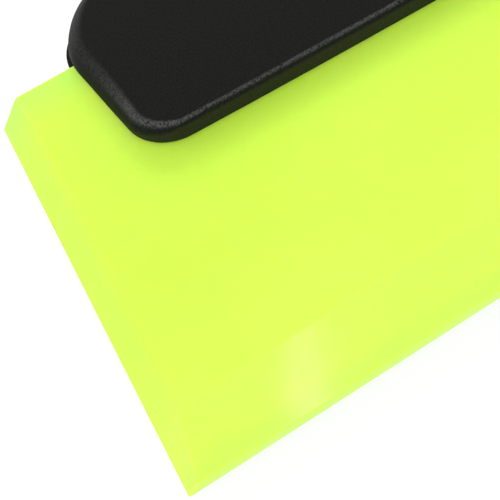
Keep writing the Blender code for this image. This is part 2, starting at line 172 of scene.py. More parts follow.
class HandleSettings(PropertyGroup):
    lip_bow: length("Lip bow", "How far the front edge bows forward in the middle", 1.05 * MM)
    jaw_length: length("Jaw length", "Length of the jaw along its front edge", 116.5 * MM)
    jaw_corner: length("Jaw corner", "Radius of the front corners", 5.3 * MM)
    shoulder_length: length("Shoulder length", "Length of the handle across its shoulders", 120.4 * MM)
    shoulder_setback: length("Shoulder setback", "Setback of the shoulders", 4.8 * MM)
    shoulder_round: length("Shoulder round", "Radius of the upper shell's shoulders", 11.0 * MM)
    base_shoulder_round: length("Base shoulder round", "Radius of the lower shell's shoulders", 7.2 * MM)
    neck_width: length("Neck width", "Width of the handle where the shoulders end", 33.0 * MM)
    neck_setback: length("Neck setback", "Setback of the neck", 32.0 * MM)
    neck_round: length("Neck round", "Radius of the hollow beside the neck", 26.0 * MM)
    end_width: length("Grip end width", "Width of the grip at its end", 42.0 * MM)
    end_bow: length("Grip end bow", "How far the grip's end bows out in the middle", 4.0 * MM)
    end_round: length("Grip end round", "Radius of the grip's corners", 14.0 * MM)
    lip_thickness: length("Lip thickness", "Thickness of each lip", 2.6 * MM)
    lip_rim: length("Lip rim", "Radius of the rim along the front of the lips", 1.05 * MM)
    side_rim: length("Side rim", "Radius of the rim at the ends of the jaw", 3.6 * MM)
    grip_rim: length("Grip rim", "Radius of the rim round the grip", 8.5 * MM)
    rim_sweep: turn("Rim sweep", "Turn of the rim's arc round the jaw, up to its crease", 68.0)
    rim_run: length("Rim run", "Length of the jaw's ends over which the rim widens", 13.35 * MM)
    rim_spread: length("Rim spread", "Setback at which the rim has widened to the grip's", 32.0 * MM)
    rise_start: length("Rise start", "Setback at which the roof starts to rise", 7.0 * MM)
    rise_length: length("Rise length", "Length over which the roof rises", 36.0 * MM)
    tail_length: length("Tail length", "Length over which the roof falls to the grip's end", 30.0 * MM)
    tail_drop: length("Tail drop", "How far the roof falls to the grip's end", 4.0 * MM)
    wall: length("Wall", "Thickness of the hollow grip's wall", 2.4 * MM)
    rib_width: length("Rib width", "Thickness of the ribs across the grip", 1.8 * MM)
    boss_radius: length("Boss radius", "Radius of the screw bosses in the grip", 4.2 * MM)
    groove_width: length("Groove width", "Width of the grooves in the lips", 1.2 * MM)
    groove_pitch: length("Groove pitch", "Distance between the grooves in the lips", 4.0 * MM)
    groove_depth: length("Groove depth", "Depth of the grooves in the lips", 0.4 * MM)
    groove_margin: length("Groove margin", "Distance from a groove's end to the jaw's", 6.0 * MM)
    peg_radius: length("Peg radius", "Radius of the two locating pegs", 1.5 * MM)
    peg_spacing: length("Peg spacing", "Distance of each peg from the middle", 18.0 * MM)
    relief_depth: length("Relief depth", "Depth of the slot's corner reliefs behind the blade", 1.6 * MM)
    relief_length: length("Relief length", "Length of the slot's corner reliefs", 5.0 * MM)
    fit: length("Fit", "Clearance between pieces", 0.1 * MM)
    body_colour: colour("Body colour", "Colour of the black plastic", (0.0045, 0.0045, 0.0040))
    # Pale tone of the grain, and on the rims the colour of both rubbing and a painted highlight
    pale_and_highlight_colour: colour("Worn colour", "Colour of the plastic where it is rubbed", (0.065, 0.065, 0.062))
    roughness: share("Roughness", "Roughness of the grained faces", 0.5)
    worn_roughness: share("Worn roughness", "Roughness of the rubbed rims", 0.28)
    # The rims' rubbing also carries a painted highlight, brightest at the jaw's front corners
    rim_wear_and_highlight: share("Rim wear", "Wear of the front rim, where that of the jaw's corners is 1", 0.78)
    wear_and_highlight_reach: length("Wear reach", "Distance from a corner over which its wear fades", 8.0 * MM)
    side_sheen: share("Side sheen", "Sheen and wear of the sides, where those of the front are 1", 0.17)
    sheen_reach: length("Sheen reach", "Distance behind the front over which they fade", 6.0 * MM)


class FastenerSettings(PropertyGroup):
    shank_radius: length("Shank radius", "Outer radius of the screw's thread", 1.5 * MM)
    thread_pitch: length("Thread pitch", "Rise of the thread in one turn", 0.5 * MM)
    thread_depth: length("Thread depth", "Depth of the thread", 0.22 * MM)
    head_height: length("Head height", "Height of the screw's head", 1.6 * MM)
    head_chamfer: length("Head chamfer", "Width of the rounded edge of the head", 0.25 * MM)
    socket_width: length("Socket width", "Width across the flats of the hexagon socket", 2.0 * MM)
    socket_depth: length("Socket depth", "Depth of the hexagon socket", 0.9 * MM)
    bore_radius: length("Bore radius", "Radius of the insert's bore", 1.6 * MM)
    knurl_depth: length("Knurl depth", "Depth of the insert's knurled bands", 0.12 * MM)
    knurl_teeth: IntProperty(
        name="Knurl teeth", description="Teeth round the insert's bands", default=24, min=6,
    )
    waist_width: length("Waist width", "Width of the plain groove round the insert's waist", 0.6 * MM)
    waist_depth: length("Waist depth", "Depth of the groove round the insert's waist", 0.25 * MM)
    zinc_colour: colour("Zinc colour", "Colour of the plated screws", (0.56, 0.57, 0.58))
    zinc_roughness: share("Zinc roughness", "Least roughness of the plated screws", 0.24)
    brass_colour: colour("Brass colour", "Colour of the inserts", (0.74, 0.53, 0.22))
    brass_roughness: share("Brass roughness", "Least roughness of the inserts", 0.22)


class StageSettings(PropertyGroup):
    target: FloatVectorProperty(
        name="Target", description="Point on the blade's top face at the middle of the picture",
        default=(-55.96 * MM, -55.87 * MM, BLADE_HIGH.z), size=3, subtype="XYZ", unit="LENGTH",
    )
    distance: length("Distance", "Distance of the camera from its target", 96.46 * MM)
    azimuth: turn("Azimuth", "Turn of the camera round the tool; 0 looks along +Y", -16.769)
    elevation: turn("Elevation", "Height of the camera above the horizon", 56.728)
    roll: turn("Roll", "Turn of the picture about the line of sight", -17.014)
    lens: FloatProperty(
        name="Lens", description="Focal length on a 36 mm sensor, in mm", default=72.07, min=1.0,
    )
    floor_size: length("Floor size", "Width of the floor", 6.0)
    floor_colour: colour("Floor colour", "Colour of the floor where it only throws light", (0.72,) * 3)
    shadow_colour: colour("Shadow colour", "Part of the seen floor that takes the shadow", (0.2,) * 3)
    floor_glow: share("Floor glow", "White that is added to that part", 0.85)
    sky: FloatProperty(
        name="Sky", description="Strength of the light from all round", default=0.61, min=0.0,
    )


class SqueegeeSettings(PropertyGroup):
    blade: PointerProperty(type=BladeSettings)
    handle: PointerProperty(type=HandleSettings)
    fasteners: PointerProperty(type=FastenerSettings)
    stage: PointerProperty(type=StageSettings)


# Soft lamps, aimed at the tool: degrees, metres and watts. One that isn't mirrored leaves no highlight.
Softbox = namedtuple("Softbox", "name azimuth elevation distance width height roll power mirrored")
SOFTBOXES = (
    Softbox("key_softbox", 146.0, 25.0, 1.0, 1.2, 0.35, 0.0, 8.8, False),
    Softbox("fill_softbox", -32.0, 13.0, 1.0, 0.8, 0.25, 0.0, 4.8, False),
    Softbox("front_softbox", -45.0, 63.0, 0.9, 0.25, 0.25, 0.0, 0.9, True),
    Softbox("rear_softbox", -145.0, 31.0, 1.0, 0.12, 0.3, 0.0, 0.7, True),
    Softbox("bevel_strip", 5.4, 72.9, 0.516, 0.02, 0.06, -36.0, 0.055, True),
    Softbox("bevel_glint", 1.4, 70.9, 0.519, 0.014, 0.004, 0.0, 0.013, True),
)


class Value:
    """One socket of a finish, so that shader maths reads as an expression."""

    def __init__(self, finish, socket):
        self.finish = finish
        self.socket = socket

    def maths(self, operation, first, second):
        return self.finish.node("ShaderNodeMath", {"operation": operation}, {0: first, 1: second})

    def __add__(self, other):
        return self.maths("ADD", self, other)

    def __radd__(self, other):
        return self.maths("ADD", other, self)

    def __sub__(self, other):
        return self.maths("SUBTRACT", self, other)

    def __rsub__(self, other):
        return self.maths("SUBTRACT", other, self)

    def __mul__(self, other):
        return self.maths("MULTIPLY", self, other)

    def __rmul__(self, other):
        return self.maths("MULTIPLY", other, self)


class Finish:
    """A node tree and the calls that fill it."""

    def __init__(self, tree):
        self.tree = tree

    @classmethod
    def of_material(cls, name):
        """A new material's tree, emptied of its first nodes."""
        material = bpy.data.materials.new(name)
        material.use_nodes = True
        material.node_tree.nodes.clear()
        made = cls(material.node_tree)
        made.material = material
        return made

    def node(self, kind, settings=None, inputs=None, output=0):
        """Add a node: its settings first, then the values or links of its sockets."""
        made = self.tree.nodes.new(kind)
        for name, value in (settings or {}).items():
            setattr(made, name, value)
        for name, value in (inputs or {}).items():
            if isinstance(value, Value):
                self.tree.links.new(value.socket, made.inputs[name])
            else:
                made.inputs[name].default_value = value
        return Value(self, made.outputs[output]) if made.outputs else None

    def place(self):
        """Where a point is, in the frame of the model."""
        return self.node("ShaderNodeTexCoord", output="Object")

    def noise(self, place, scale, detail=2.0, roughness=0.5):
        """Cloudy noise from 0 to 1; scale counts its lumps in a metre."""
        inputs = {"Vector": place, "Scale": scale, "Detail": detail, "Roughness": roughness}
        return self.node("ShaderNodeTexNoise", None, inputs)

    def ease(self, value, start, end):
        """Rise smoothly from 0 at start to 1 at end."""
        inputs = {"Value": value, "From Min": start, "From Max": end}
        return self.node("ShaderNodeMapRange", {"interpolation_type": "SMOOTHSTEP"}, inputs)

    def mix(self, factor, first, second):
        """Go from one colour to another; a Mix node's colours are inputs 6 and 7 and output 2."""
        colours = [(*item, 1.0) if not isinstance(item, Value) else item for item in (first, second)]
        inputs = {0: factor, 6: colours[0], 7: colours[1]}
        return self.node("ShaderNodeMix", {"data_type": "RGBA"}, inputs, output=2)

    def stretched(self, place, scale):
        """The same place, measured with a different scale along each axis."""
        return self.node("ShaderNodeMapping", None, {"Vector": place, "Scale": scale})

    def turning(self, place, count):
        """Marks round Z, as a lathe leaves them; count is their number in a metre of Z."""
        across = 300.0
        return self.noise(self.stretched(place, (across, across, count)), 1.0)

    def bump(self, height, distance, strength=1.0, under=None):
        """A normal raised by a height from 0 to 1, over a depth in metres."""
        inputs = {"Height": height, "Distance": distance, "Strength": strength}
        if under:
            inputs["Normal"] = under
        return self.node("ShaderNodeBump", None, inputs)

    def shader(self, **inputs):
        """The main shader; an underscore in a name stands for a space."""
        sockets = {name.replace("_", " "): value for name, value in inputs.items()}
        return self.node("ShaderNodeBsdfPrincipled", None, sockets)

    def surface(self, shader):
        """Close the tree with its shader."""
        self.node("ShaderNodeOutputMaterial", None, {"Surface": shader})
        return self.material


def polyurethane(settings):
    """Cast polyurethane: satin fluorescent yellow-green, faintly clouded; painted light and shade on its
    edges and bevel, and a painted green glow.
    """
    cloud_lumps, speck_lumps, ripple_lumps, grain_lumps = 70.0, 110.0, 260.0, 4200.0
    streak_lumps = (40.0, 600.0, 600.0)
    cloud_start, cloud_end = 0.3, 0.7
    cloud_haze, front_haze, bevel_reflection_tint = 0.3, 0.45, 0.4
    haze_start, taper_start = 0.6, 0.62
    taper_glow, nose_glow = 0.5, 0.5
    speck_core, speck_rim = 0.012, 0.022
    streak_roughness, bevel_polish = 0.05, 0.8
    grain_depth, ripple_depth, bump_strength = 0.006 * MM, 0.03 * MM, 0.5

    finish = Finish.of_material("cast_polyurethane")
    place = finish.place()
    y = finish.node("ShaderNodeSeparateXYZ", None, {"Vector": place}, output="Y")
    crease = BLADE_LOW.y + settings.front_bevel
    bevel = finish.ease(y, crease + settings.edge_softness, crease)
    clouds = finish.ease(finish.noise(place, cloud_lumps, 3.0), cloud_start, cloud_end)
    front = finish.ease(y, BLADE_REAR - haze_start * BLADE_DEPTH, crease)
    # On the bevel the paler colour is a painted reflection.
    haze_and_reflection = clouds * cloud_haze + front * front_haze + bevel * bevel_reflection_tint
    body = finish.mix(haze_and_reflection, settings.body_colour, settings.haze_and_reflection_colour)
    # Painted light and shade: the lower bevel and the nose take the edge colour as light through the
    # thin edge, and the rear strip takes it as shade.
    taper = finish.ease(y, crease - taper_start * settings.front_bevel, BLADE_LOW.y)
    nose = finish.ease(y, BLADE_LOW.y + settings.edge_softness, BLADE_LOW.y)
    rear = finish.ease(y, BLADE_REAR - settings.rear_shade_depth, BLADE_REAR)
    edged = finish.mix(taper * taper_glow + nose * nose_glow + rear, body, settings.edge_glow_and_shade_colour)
    specks = finish.node("ShaderNodeTexVoronoi", None, {"Vector": place, "Scale": speck_lumps})
    clean = finish.ease(specks, speck_core, speck_rim)
    streaks = finish.noise(finish.stretched(place, streak_lumps), 1.0, 3.0)
    polish = settings.bevel_roughness - settings.roughness
    ripple = finish.bump(finish.noise(place, ripple_lumps), ripple_depth, bump_strength)
    grain = finish.noise(place, grain_lumps) * (1.0 - bevel_polish * bevel)
    return finish.surface(finish.shader(
        Base_Color=finish.mix(clean, settings.speck_colour, edged),
        Roughness=settings.roughness + polish * bevel + streak_roughness * streaks,
        Normal=finish.bump(grain, grain_depth, bump_strength, ripple),
        IOR=1.5,
        Specular_IOR_Level=0.12,
        Subsurface_Weight=0.95,
        Subsurface_Radius=(0.75, 1.0, 0.04),
        Subsurface_Scale=1.0 * MM,
        # Painted light: an even green glow that lifts the shade as much as the lit faces
        Emission_Color=GLOW_GREEN,
        Emission_Strength=settings.painted_glow,
    ))


def grained_plastic(settings):
    """Moulded black plastic: a fine etched grain, glossier walls, and rims paler from rubbing and a
    painted highlight.
    """
    fine_lumps, coarse_lumps, patch_lumps = 5200.0, 1700.0, 140.0
    blotch_start, blotch_end = 0.29, 0.54
    speckle_start, speckle_end = 0.25, 0.75
    plastic_ior, grain_depth, patch_roughness = 1.48, 0.05 * MM, 0.10
    moulded_speckle, moulded_bump, polished_bump, wall_coat = 0.14, 0.8, 0.45, 0.38

    finish = Finish.of_material("grained_plastic")
    place = finish.place()
    rubbed_and_lit = finish.node("ShaderNodeAttribute", {"attribute_name": "rim_wear_and_highlight"}, output="Fac")
    glossy = finish.node("ShaderNodeAttribute", {"attribute_name": "wall_sheen"}, output="Fac")
    fine = finish.noise(place, fine_lumps, roughness=0.6)
    coarse = finish.noise(place, coarse_lumps)
    patches = finish.noise(place, patch_lumps, 3.0)
    blotches = fine * 0.5 + coarse * 0.35 + patches * 0.15
    # Painted highlight: the rubbing mask lays the rims' paler colour where they catch the light
    wear_and_highlight = rubbed_and_lit * finish.ease(blotches, blotch_start, blotch_end)
    speckle = finish.ease(fine, speckle_start, speckle_end)
    grain = fine * 0.6 + coarse * 0.4
    moulded = finish.shader(
        Base_Color=finish.mix(speckle * moulded_speckle, settings.body_colour, settings.pale_and_highlight_colour),
        Roughness=settings.roughness + patch_roughness * patches,
        Normal=finish.bump(grain, grain_depth, moulded_bump),
        IOR=plastic_ior,
        Specular_IOR_Level=0.055,
        Coat_Weight=wall_coat * glossy,
        Coat_Roughness=0.15,
    )
    # The rims' shader: smoother, and paler where its colour paints their highlight
    polished_and_lit = finish.shader(
        Base_Color=finish.mix(speckle, settings.body_colour, settings.pale_and_highlight_colour),
        Roughness=settings.worn_roughness + patch_roughness * patches,
        Normal=finish.bump(grain, grain_depth, polished_bump),
        IOR=plastic_ior,
    )
    return finish.surface(finish.node("ShaderNodeMixShader", None, {0: wear_and_highlight, 1: moulded, 2: polished_and_lit}))


def darker(shade, part):
    """A part of a colour's brightness."""
    return tuple(part * channel for channel in shade)


def plated_steel(settings):
    """Zinc-plated steel: soft clouded sheen with turning marks."""
    cloud_lumps, mark_count, mark_depth, mark_bump = 900.0, 9000.0, 0.01 * MM, 0.5
    cloud_shade, cloud_roughness, mark_roughness = 0.72, 0.2, 0.06

    finish = Finish.of_material("plated_steel")
    place = finish.place()
    clouds = finish.noise(place, cloud_lumps, 3.0)
    marks = finish.turning(place, mark_count)
    return finish.surface(finish.shader(
        Base_Color=finish.mix(clouds, settings.zinc_colour, darker(settings.zinc_colour, cloud_shade)),
        Metallic=1.0,
        Roughness=settings.zinc_roughness + cloud_roughness * clouds + mark_roughness * marks,
        Normal=finish.bump(marks, mark_depth, mark_bump),
    ))


def machined_brass(settings):
    """Machined brass: warm metal with turning marks and dull patches."""
    patch_lumps, mark_count, mark_depth, mark_bump = 700.0, 8000.0, 0.01 * MM, 0.5
    dull_start, dull_end = 0.45, 0.8
    dull_shade, patch_roughness, mark_roughness = 0.55, 0.22, 0.05

    finish = Finish.of_material("machined_brass")
    place = finish.place()
    patches = finish.noise(place, patch_lumps, 3.0)
    marks = finish.turning(place, mark_count)
    dull = finish.ease(patches, dull_start, dull_end)
    return finish.surface(finish.shader(
        Base_Color=finish.mix(dull, settings.brass_colour, darker(settings.brass_colour, dull_shade)),
        Metallic=1.0,
        Roughness=settings.brass_roughness + patch_roughness * patches + mark_roughness * marks,
        Normal=finish.bump(marks, mark_depth, mark_bump),
    ))


def studio_floor(settings):
    """A white floor that keeps a soft part of the tool's shadow."""
    finish = Finish.of_material("studio_floor")
    plain, shaded = (
        finish.node("ShaderNodeBsdfDiffuse", None, {"Color": (*part, 1.0)})
        for part in (settings.floor_colour, settings.shadow_colour)
    )
    glow = finish.node("ShaderNodeEmission", None, {"Color": WHITE, "Strength": settings.floor_glow})
    shown = finish.node("ShaderNodeAddShader", None, {0: shaded, 1: glow})
    return finish.surface(
        finish.node("ShaderNodeMixShader", None, {0: seen_ray(finish), 1: plain, 2: shown})
    )


def seen_ray(finish):
    """1 for rays from the camera, from a mirror or through glass; 0 for rays that only carry light."""
    path = finish.node("ShaderNodeLightPath").socket.node
    names = ("Is Camera Ray", "Is Glossy Ray", "Is Transmission Ray")
    camera, glossy, through = (Value(finish, path.outputs[name]) for name in names)
    total = camera + glossy + through
    return finish.node("ShaderNodeMath", {"operation": "MINIMUM"}, {0: total, 1: 1.0})


def smooth_step(value, start, span):
    """Rise from 0 to 1 along a span, level at both ends: 3 s^2 - 2 s^3."""
    part = np.clip((value - start) / span, 0.0, 1.0)
    return part * part * (3.0 - 2.0 * part)


def grid_faces(rows, columns, closed_rows=False):
    """Corner indices of the quads on a grid of points whose every row is a ring.

    With closed_rows, the last row joins the first as well.
    """
    row = np.arange(rows if closed_rows else rows - 1)[:, None]
    column = np.arange(columns)[None, :]
    here, below = row * columns, (row + 1) % rows * columns
    beside = (column + 1) % columns
    corners = (here + column, here + beside, below + beside, below + column)
    return np.stack(np.broadcast_arrays(*corners), axis=-1).reshape(-1, 4).tolist()


def make_object(name, points, faces):
    """A mesh object at the origin, with merged seams and outward faces."""
    mesh = bpy.data.meshes.new(name)
    mesh.from_pydata(points.reshape(-1, 3).tolist(), [], faces)
    work = bmesh.new()
    work.from_mesh(mesh)
    bmesh.ops.remove_doubles(work, verts=work.verts, dist=SEAM_REACH)
    bmesh.ops.recalc_face_normals(work, faces=work.faces)
    work.to_mesh(mesh)
    work.free()
    made = bpy.data.objects.new(name, mesh)
    bpy.context.scene.collection.objects.link(made)
    return made


def mesh_points(mesh):
    """The points of a mesh, as rows of (x, y, z)."""
    points = np.empty(len(mesh.vertices) * 3, np.float32)
    mesh.vertices.foreach_get("co", points)
    return points.reshape(-1, 3)


def store(mesh, name, domain, values):
    """Keep one number for each point or edge of a mesh."""
    layer = mesh.attributes.new(name, "FLOAT", domain)
    layer.data.foreach_set("value", values.astype(np.float32))


def soften(piece):
    """Smooth shading, broken only where two faces meet at more than the sharp angle."""
    piece.data.shade_smooth()
    piece.data.set_sharp_from_angle(angle=SHARP_ANGLE)


def cut(target, cutters, operation="DIFFERENCE"):
    """Cut other objects out of the target, or join them on, and delete them."""
    for cutter in cutters:
        modifier = target.modifiers.new(cutter.name, "BOOLEAN")
        modifier.operation = operation
        modifier.object = cutter
        modifier.solver = "MANIFOLD"
    graph = bpy.context.evaluated_depsgraph_get()
    solid = bpy.data.meshes.new_from_object(target.evaluated_get(graph))
    if not solid.polygons:
        raise RuntimeError(f"nothing is left of {target.name} after its cuts")
    target.modifiers.clear()
    old = target.data
    target.data = solid
    solid.name = old.name
    bpy.data.meshes.remove(old)
    for cutter in cutters:
        bpy.data.objects.remove(cutter, do_unlink=True)


def block(name, low, high):
    """A box: every corner is low or high along each axis."""
    pick = np.indices((2, 2, 2)).reshape(3, -1).T
    points = np.where(pick == 0, low, high)
    faces = [(0, 1, 3, 2), (4, 6, 7, 5), (0, 4, 5, 1), (2, 3, 7, 6), (0, 2, 6, 4), (1, 5, 7, 3)]
    return make_object(name, points, faces)


def prism(name, plan, low, high):
    """An upright solid: a closed plan, given as rows of (x, y), at two levels, with flat ends."""
    count = len(plan)
    points = np.column_stack((np.tile(plan, (2, 1)), np.repeat((low, high), count)))
    ends = [tuple(range(count)), tuple(range(count, 2 * count))]
    return make_object(name, points, grid_faces(2, count) + ends)


def angles_round(count):
    """Equal steps round a full turn."""
    return np.linspace(0.0, math.tau, count, endpoint=False)


def bar(name, place, radius, low, high):
    """An upright round bar: the plan place + radius (cos a, sin a)."""
    angle = angles_round(TURN_SIDES)
    return prism(name, place + radius * np.column_stack((np.cos(angle), np.sin(angle))), low, high)


def rounded_path(corners):
    """Straight runs joined by arcs, as rows of (x, y).

    At a corner (x, y, radius) the arc touches both runs. Its centre is on their bisector, radius / sin
    of the half angle from the corner, and it takes at most half of the shorter run.
    """
    parts = [np.array([corners[0][:2]])]
    for before, corner, after in zip(corners, corners[1:], corners[2:]):
        here = np.array(corner[:2])
        back = np.array(before[:2]) - here
        onward = np.array(after[:2]) - here
        spans = np.linalg.norm(back), np.linalg.norm(onward)
        back, onward = back / spans[0], onward / spans[1]
        half_angle = math.acos(np.dot(back, onward)) / 2
        reach = min(corner[2] / math.tan(half_angle), min(spans) / 2)
        radius = reach * math.tan(half_angle)
        bisector = (back + onward) / np.linalg.norm(back + onward)
        centre = here + bisector * radius / math.sin(half_angle)
        first = here + back * reach - centre
        last = here + onward * reach - centre
        start = math.atan2(first[1], first[0])
        sweep = math.remainder(math.atan2(last[1], last[0]) - start, math.tau)
        angle = start + sweep * np.linspace(0.0, 1.0, ARC_STEPS)
        parts.append(centre + radius * np.column_stack((np.cos(angle), np.sin(angle))))
    parts.append(np.array([corners[-1][:2]]))
    return np.concatenate(parts)


def resampled(path):
    """The same path with points at equal distances along it."""
    along = np.concatenate(([0.0], np.cumsum(np.linalg.norm(np.diff(path, axis=0), axis=1))))
    places = np.linspace(0.0, along[-1], round(along[-1] / OUTLINE_STEP) + 1)
    return np.column_stack([np.interp(places, along, path[:, axis]) for axis in (0, 1)])


def bowed_edge(span, bow, corner):
    """Half of a bowed edge as rows of (x, drop), short of its corner: drop = bow (2 x / span)^2."""
    x = np.linspace(0.0, BOW_SHARE * (span / 2 - corner), ARC_STEPS)
    return np.column_stack((x, bow * (2.0 * x / span) ** 2))


def handle_half(settings, shoulder_round):
    """Right half of a shell's plan, from the middle of the lip round to the end of the grip."""
    lip = bowed_edge(settings.jaw_length, settings.lip_bow, settings.jaw_corner)
    lip[:, 1] -= LIP_REACH
    end = bowed_edge(settings.end_width, settings.end_bow, settings.end_round)
    end[:, 1] = GRIP_SETBACK - end[:, 1]
    sides = rounded_path([
        (*lip[-1], 0.0),
        (settings.jaw_length / 2, settings.lip_bow - LIP_REACH, settings.jaw_corner),
        (settings.shoulder_length / 2, settings.shoulder_setback, shoulder_round),
        (settings.neck_width / 2, settings.neck_setback, settings.neck_round),
        (settings.end_width / 2, GRIP_SETBACK - settings.end_bow, settings.end_round),
        (*end[-1], 0.0),
    ])
    return resampled(np.concatenate((lip[:-1], sides, end[-2::-1])))


def full_loop(half):
    """A half outline and its mirror image as one closed loop."""
    return np.concatenate((half, half[-2:0:-1] * (-1.0, 1.0)))


def inward(loop):
    """Unit normals of a closed loop, pointing to its inside."""
    along = np.roll(loop, -1, axis=0) - np.roll(loop, 1, axis=0)
    along /= np.linalg.norm(along, axis=1, keepdims=True)
    return np.column_stack((-along[:, 1], along[:, 0]))


def domed_body(name, half, base, side, height, rim, sweep):
    """A body on a flat base, with upright walls, a rounded rim and a roof.

    The rim is an arc from the wall to the angle sweep. Its ring at angle a lies rim (1 - cos a) inside
    the outline, and rim (sin(sweep) - sin a) below the roof there. Two more rings just before and after
    the rim keep the wall and the roof flat. Strips between mirrored points close the base and the roof.
    side is 1 for a roof above the base, -1 for one below.
    """
    loop = full_loop(half)
    radius, last = rim(loop[:, 1]), sweep(loop[:, 1])
    angle = np.linspace(0.0, 1.0, RIM_STEPS + 1)[:, None] * last
    none = np.zeros_like(radius)
    width = radius * (1.0 - np.cos(angle))
    fall = radius * (np.sin(last) - np.sin(angle))
    inset = np.vstack((none, none, width, width[-1] + HOLD_MARGIN))
    drop = np.vstack((radius * np.sin(last) + HOLD_MARGIN, fall, none))
    plan = loop + inset[..., None] * inward(loop)
    level = np.vstack((none, height(plan[1:, :, 1]) - drop))
    plan[..., 1] += BLADE_REAR
    points = np.dstack((plan, base + side * level))
    rings, count = level.shape
    step = np.arange(len(half) - 1)
    strips = np.column_stack((step, step + 1, count - step - 1, (count - step) % count))
    faces = grid_faces(rings, count)
    for first in (0, (rings - 1) * count):
        faces += [tuple(dict.fromkeys(strip)) for strip in (first + strips).tolist()]
    return make_object(name, points, faces)


def upper_height(settings):
    """Height of the roof above the parting face, as a function of the setback."""
    parting = UPPER_LOW.z
    lip_top = BLADE_HIGH.z + settings.fit + settings.lip_thickness

    def height(setback):
        rise = smooth_step(setback, settings.rise_start, settings.rise_length)
        fall = smooth_step(setback, GRIP_SETBACK - settings.tail_length, settings.tail_length)
        return lip_top - parting + (UPPER_HIGH.z - lip_top) * rise - settings.tail_drop * fall

    return height


def upper_sweep(settings):
    """Turn of the rim's arc: short of level round the jaw, and a full quarter on the grip."""
    def sweep(setback):
        rise = smooth_step(setback, settings.rise_start, settings.rise_length)
        return settings.rim_sweep + (math.pi / 2 - settings.rim_sweep) * rise

    return sweep


def upper_rim(settings):
    """Radius of the rim round the roof, as a function of the setback.

    It grows with the square root of the setback along the ends of the jaw, then evenly to the grip's,
    and never so far that no wall is left under it.
    """
    height, sweep = upper_height(settings), upper_sweep(settings)
    start = settings.lip_bow - LIP_REACH

    def rim(setback):
        widened = np.sqrt(np.clip((setback - start) / settings.rim_run, 0.0, 1.0))
        spread = np.clip(setback / settings.rim_spread, 0.0, 1.0)
        radius = settings.lip_rim + (settings.side_rim - settings.lip_rim) * widened
        radius = radius + (settings.grip_rim - settings.side_rim) * spread
        return np.minimum(radius, (height(setback) - 2.0 * HOLD_MARGIN) / np.sin(sweep(setback)))

    return rim


def node_middle(name):
    """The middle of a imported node's box, in plan."""
    low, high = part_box(name)
    return (low.x + high.x) / 2, (low.y + high.y) / 2


def node_radius(name):
    """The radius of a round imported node: half of its box's width."""
    low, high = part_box(name)
    return (high.x - low.x) / 2


def peg_places(settings):
    """The two locating pegs, on the line of the screws behind the jaw."""
    line = node_middle("jaw_middle_screw")[1]
    return [(side * settings.peg_spacing, line) for side in (-1, 1)]


def jaw_slot(settings):
    """The slot for the blade, open at the front and both ends, with reliefs at its rear corners."""
    reach = settings.shoulder_length / 2 + OVERRUN
    inner = settings.shoulder_length / 2 - settings.relief_length
    front = UPPER_LOW.y - OVERRUN
    rear = BLADE_REAR + settings.fit
    back = BLADE_REAR + settings.relief_depth
    half = np.array([(reach, front), (reach, back), (inner, back), (inner, rear)])
    plan = np.concatenate((half, half[::-1] * (-1.0, 1.0)))
    return prism("jaw_slot", plan, BLADE_LOW.z - settings.fit, BLADE_HIGH.z + settings.fit)


def lip_grooves(settings, low, high):
    """Three cross grooves in a lip, stopping short of its ends."""
    reach = settings.jaw_length / 2 - settings.groove_margin
    half = settings.groove_width / 2
    made = []
    for index in (-1, 0, 1):
        middle = BLADE_REAR - LIP_REACH / 2 + index * settings.groove_pitch
        corners = (-reach, middle - half, low), (reach, middle + half, high)
        made.append(block(f"groove_{index + 2}", *corners))
    return made


def grip_hollow(settings, half):
    """The space in the grip: the outline moved in by the wall, less the ribs and the screw bosses."""
    front = node_middle("jaw_middle_screw")[1] - BLADE_REAR + settings.boss_radius
    moved = half + settings.wall * inward(full_loop(half))[:len(half)]
    moved = moved[moved[:, 1] > front]
    moved[-1, 0] = 0.0
    inner = np.concatenate(([(0.0, front), (moved[0, 0], front)], moved))
    base = UPPER_LOW.z - OVERRUN
    height, rim = upper_height(settings), upper_rim(settings)
    hollow = domed_body(
        "grip_hollow", inner, base, 1,
        lambda setback: height(setback) + OVERRUN - settings.wall,
        lambda setback: np.maximum(rim(setback) - settings.wall, settings.fit),
        upper_sweep(settings),
    )
    top = UPPER_HIGH.z + OVERRUN
    bosses = [node_middle(f"grip_{end}_screw") for end in ("front", "rear")]
    span = bosses[1][1] - bosses[0][1]
    stays = [bar("boss", place, settings.boss_radius, base - OVERRUN, top) for place in bosses]
    for part in (1 / 3, 2 / 3):
        middle = bosses[0][1] + span * part
        low = (-settings.end_width, middle - settings.rib_width / 2, base - OVERRUN)
        stays.append(block("rib", low, (settings.end_width, middle + settings.rib_width / 2, top)))
    cut(hollow, stays)
    return hollow


